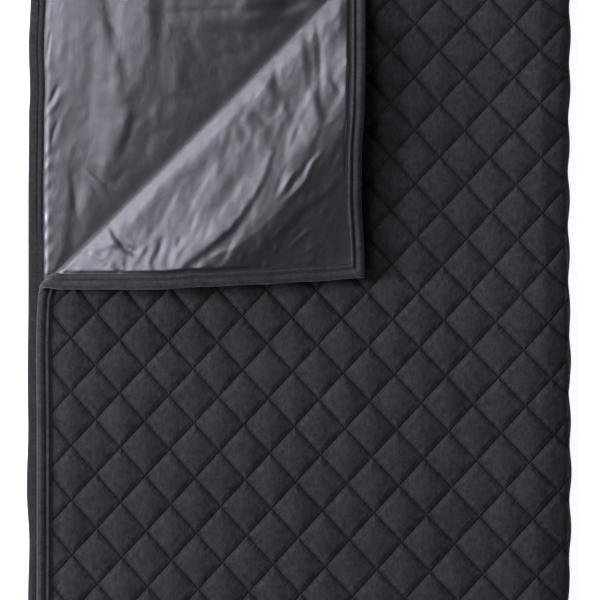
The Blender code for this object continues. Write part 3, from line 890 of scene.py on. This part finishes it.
def jersey_material(name, dark, light, quilted):
    n = Nodes(name)
    flat = n.uv("cloth")
    share, cloud, grain, fleck = jersey_parts(n, flat)
    colour = n.mix(share, (*dark, 1.0), (*light, 1.0))
    cloudy = n.ramp(cloud, 0.36, 0.64, 0.84, 1.16)
    tinted = n.add("ShaderNodeVectorMath", {0: colour, "Scale": cloudy}, operation="SCALE")
    colour = tinted.outputs[0]
    height = n.math("ADD", n.math("MULTIPLY", grain, 0.7), n.math("MULTIPLY", fleck, 0.3))
    height = n.math("MULTIPLY", height, 0.0004)
    if quilted:
        split = n.add("ShaderNodeSeparateXYZ", {0: n.uv("quilt")})
        p, q = split.outputs[0], split.outputs[1]
        wobble = n.math("MULTIPLY_ADD", n.noise(flat, 90.0, 1.0), 0.012, -0.006)
        p = n.math("ADD", p, wobble)
        q = n.math("ADD", q, wobble)
        off_p = n.math("MULTIPLY", n.math("PINGPONG", p, 0.5), 44.9)
        off_q = n.math("MULTIPLY", n.math("PINGPONG", q, 0.5), 44.9)
        # how deep in a seam a point is, for the wide crease and for the stitch line, which stands for the thread and
        # for painted shade in the seam groove
        line_p, line_q = n.ramp(off_p, 0.1, 1.8, 1.0, 0.0), n.ramp(off_q, 0.1, 1.8, 1.0, 0.0)
        wide_p, wide_q = n.ramp(off_p, 0.0, 7.0, 1.0, 0.0), n.ramp(off_q, 0.0, 7.0, 1.0, 0.0)
        beat_p = n.ramp(n.math("PINGPONG", n.math("MULTIPLY", q, 44.9 / 3.3), 0.5), 0.05, 0.35)
        beat_q = n.ramp(n.math("PINGPONG", n.math("MULTIPLY", p, 44.9 / 3.3), 0.5), 0.05, 0.35)
        thread = n.math(
            "MAXIMUM", n.math("MULTIPLY", line_p, n.math("MULTIPLY_ADD", beat_p, 0.35, 0.65)),
            n.math("MULTIPLY", line_q, n.math("MULTIPLY_ADD", beat_q, 0.35, 0.65)),
        )
        wide = n.math("MAXIMUM", wide_p, wide_q)
        # short pulls that run off each seam, square to it
        pull_p = n.noise(n.add("ShaderNodeCombineXYZ", {0: n.math("MULTIPLY", p, 1.4), 1: n.math("MULTIPLY", q, 9.0)}).outputs[0], 1.0, 1.0)
        pull_q = n.noise(n.add("ShaderNodeCombineXYZ", {0: n.math("MULTIPLY", q, 1.4), 1: n.math("MULTIPLY", p, 9.0), 2: 5.0}).outputs[0], 1.0, 1.0)
        near_p, near_q = n.ramp(off_p, 1.0, 13.0, 1.0, 0.0), n.ramp(off_q, 1.0, 13.0, 1.0, 0.0)
        pulls = n.math("ADD", n.math("MULTIPLY", pull_p, near_p), n.math("MULTIPLY", pull_q, near_q))
        # painted shade in the creases, stronger in the seams that this light leaves too flat
        crease = n.math("MAXIMUM", n.ramp(off_p, 0.0, 5.5, 0.1, 0.0), n.ramp(off_q, 0.0, 5.5, 0.5, 0.0))
        colour = n.mix(crease, colour, (0.006, 0.006, 0.008, 1.0))
        # painted shade in the seam groove along with the dark thread: the stitch line's colour is pulled towards
        # near-black
        colour = n.mix(n.math("MULTIPLY", thread, 0.5), colour, (0.006, 0.006, 0.008, 1.0))
        height = n.math("ADD", height, n.math("MULTIPLY", thread, -0.0007))
        height = n.math("ADD", height, n.math("MULTIPLY", wide, -0.0009))
        height = n.math("ADD", height, n.math("MULTIPLY", pulls, 0.0011))
    else:
        across = n.add("ShaderNodeSeparateXYZ", {0: n.uv("rows")}).outputs[1]
        # painted shade darkens the binding along its twin stitch grooves
        for row in ROWS:
            off = n.math("ABSOLUTE", n.math("SUBTRACT", across, row * MM))
            painted_groove_shade = n.ramp(off, 0.0002, 0.0016, 0.62, 0.0)
            colour = n.mix(painted_groove_shade, colour, (0.003, 0.003, 0.004, 1.0))
    bump = n.add("ShaderNodeBump", {"Height": height, "Strength": 1.0, "Distance": 1.0})
    n.set(Base_Color=colour, Roughness=0.92, Metallic=0.0, Normal=bump.outputs[0])
    n.shader.inputs["Sheen Weight"].default_value = 0.06 if quilted else 0.3
    n.shader.inputs["Sheen Roughness"].default_value = 0.45
    n.shader.inputs["Sheen Tint"].default_value = (0.84, 0.82, 1.0, 1.0)
    n.shader.inputs["Specular IOR Level"].default_value = 0.12
    return n.material


def satin_material(name):
    n = Nodes(name)
    flat = n.uv("cloth")
    blotch = n.noise(flat, 19.0, 2.0, 0.5)
    weave = n.noise(n.scaled(flat, (1.0, 0.12, 1.0)), 900.0, 2.0, 0.6)
    ripple = n.noise(n.scaled(flat, (1.0, 0.7, 1.0)), 62.0, 2.0, 0.5, 0.6)
    colour = n.mix(n.ramp(blotch, 0.35, 0.65), (0.0090, 0.0082, 0.0108, 1.0), (0.0094, 0.0090, 0.0104, 1.0))
    rough = n.ramp(weave, 0.3, 0.7, 0.37, 0.42)
    height = n.math("ADD", n.math("MULTIPLY", weave, 0.00006), n.math("MULTIPLY", ripple, 0.0003))
    bump = n.add("ShaderNodeBump", {"Height": height, "Strength": 1.0, "Distance": 1.0})
    n.set(Base_Color=colour, Roughness=rough, Metallic=0.0, Normal=bump.outputs[0])
    n.shader.inputs["IOR"].default_value = 1.68
    n.shader.inputs["Specular IOR Level"].default_value = 1.0
    n.shader.inputs["Specular Tint"].default_value = (0.90, 0.84, 1.0, 1.0)
    n.shader.inputs["Sheen Weight"].default_value = 0.0
    return n.material


def thread_material(name):
    n = Nodes(name)
    twist = n.noise(n.scaled(n.uv("cloth"), (1.0, 1.0, 1.0)), 1500.0, 1.0)
    colour = n.mix(twist, (0.009, 0.009, 0.011, 1.0), (0.026, 0.026, 0.030, 1.0))
    n.set(Base_Color=colour, Roughness=0.7, Metallic=0.0)
    return n.material


def floor_material():
    n = Nodes("pale_floor")
    mottle = n.noise(n.add("ShaderNodeTexCoord").outputs["Object"], 3.0, 2.0)
    colour = n.mix(mottle, (0.86, 0.86, 0.86, 1.0), (0.88, 0.88, 0.88, 1.0))
    n.set(Base_Color=colour, Roughness=0.9, Metallic=0.0)
    n.shader.inputs["Emission Color"].default_value = (1.0, 1.0, 1.0, 1.0)
    n.shader.inputs["Emission Strength"].default_value = 0.9  # a light table
    return n.material


# ---- the scene --------------------------------------------------------------------------------------------
def build():
    face = jersey_material("melange_jersey_quilted", (0.0162, 0.0161, 0.0203), (0.0285, 0.0284, 0.0350), True)
    tape = jersey_material("melange_jersey_tape", (0.0154, 0.0152, 0.0196), (0.0308, 0.0303, 0.0384), False)
    satin = satin_material("grey_satin_cloth")
    thread = thread_material("charcoal_thread")

    panel = build_panel(face)
    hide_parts("quilted_face")
    lining = build_lining(satin)
    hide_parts("lining")
    binding = build_binding(tape)
    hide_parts("edge_binding")
    stitches = build_stitches(thread)


def dress_stage():
    bpy.ops.mesh.primitive_plane_add(size=12.0, location=(0.0, 0.0, -0.0004))
    floor = bpy.context.object
    floor.name = "floor"
    floor.data.materials.append(floor_material())

    def area(name, place, target, size, power, colour=(1.0, 1.0, 1.0)):
        light = bpy.data.lights.new(name, "AREA")
        light.shape = "RECTANGLE"
        light.size, light.size_y = size
        light.energy = power
        light.color = colour
        obj = bpy.data.objects.new(name, light)
        obj.location = place
        obj.rotation_mode = "QUATERNION"
        obj.rotation_quaternion = (Vector(target) - Vector(place)).to_track_quat("-Z", "Y")
        bpy.context.scene.collection.objects.link(obj)
        return obj

    area("key", (-3.4, 0.46, 1.75), (0, 0, 0), (1.2, 1.0), 190.0)
    area("flap_glow", (-1.05, 1.15, 1.75), (-0.1, 0.2, 0.03), (0.6, 0.6), 7.8)
    area("rake", (-3.9, -0.4, 0.75), (0, 0, 0), (1.2, 0.5), 130.0)
    area("corner_wash", (-1.1, 3.3, 1.25), (0, 0, 0), (1.4, 0.8), 58.0)
    area("near_panel", (-0.80, 0.47, 1.35), (-0.15, 0.27, 0.05), (0.6, 0.9), 5.8)
    area("fill", (3.3, -0.3, 0.95), (0, 0, 0), (1.6, 0.8), 16.0)

    world = bpy.data.worlds.new("studio")
    bpy.context.scene.world = world
    world.use_nodes = True
    background = next(n for n in world.node_tree.nodes if n.type == "BACKGROUND")
    background.inputs[0].default_value = (0.86, 0.88, 1.0, 1.0)
    background.inputs[1].default_value = 0.05
    bpy.context.scene.view_settings.view_transform = "Standard"


def set_camera():
    centre = 300.0
    x = ((centre - LEFT_PIXEL) * PER_PIXEL - X_MIDDLE) * MM
    y = (-(centre - TOP_PIXEL) * PER_PIXEL - Y_MIDDLE) * MM
    distance, wide = 6.0, 600.0 * PER_PIXEL * MM
    camera = bpy.data.cameras.new("overhead")
    camera.sensor_width = 36.0
    camera.lens = 36.0 * distance / wide
    camera.clip_start, camera.clip_end = 0.1, 50.0
    obj = bpy.data.objects.new("overhead", camera)
    obj.location = (x, y, distance + CAMERA_LEVEL * MM)
    obj.rotation_euler = (0.0, 0.0, 0.0)
    bpy.context.scene.collection.objects.link(obj)
    bpy.context.scene.camera = obj


set_camera()
build()
dress_stage()
